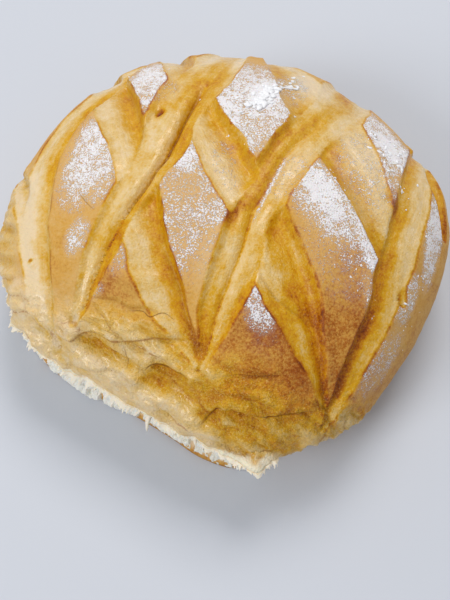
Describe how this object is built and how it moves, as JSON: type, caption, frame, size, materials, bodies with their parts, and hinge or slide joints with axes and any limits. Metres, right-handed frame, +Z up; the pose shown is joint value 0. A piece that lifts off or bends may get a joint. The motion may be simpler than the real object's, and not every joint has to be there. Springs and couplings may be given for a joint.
{
  "type": "round white bread loaf",
  "caption": "Round domed white loaf with a golden, diamond-scored and floured crust, torn along one side down to pale crumb. It rests on a flat base.",
  "frame": {"origin": "middle of the footprint, on the flat base", "axes": "+Z up out of the crown; the torn side faces -X and -Y"},
  "size_m": [0.2263, 0.2268, 0.0908],
  "materials": {
    "crust": "baked golden crust, satin, dusted with flour on the raised diamonds"
  },
  "bodies": {
    "root": {"loaf": "crust"}
  },
  "joints": []
}
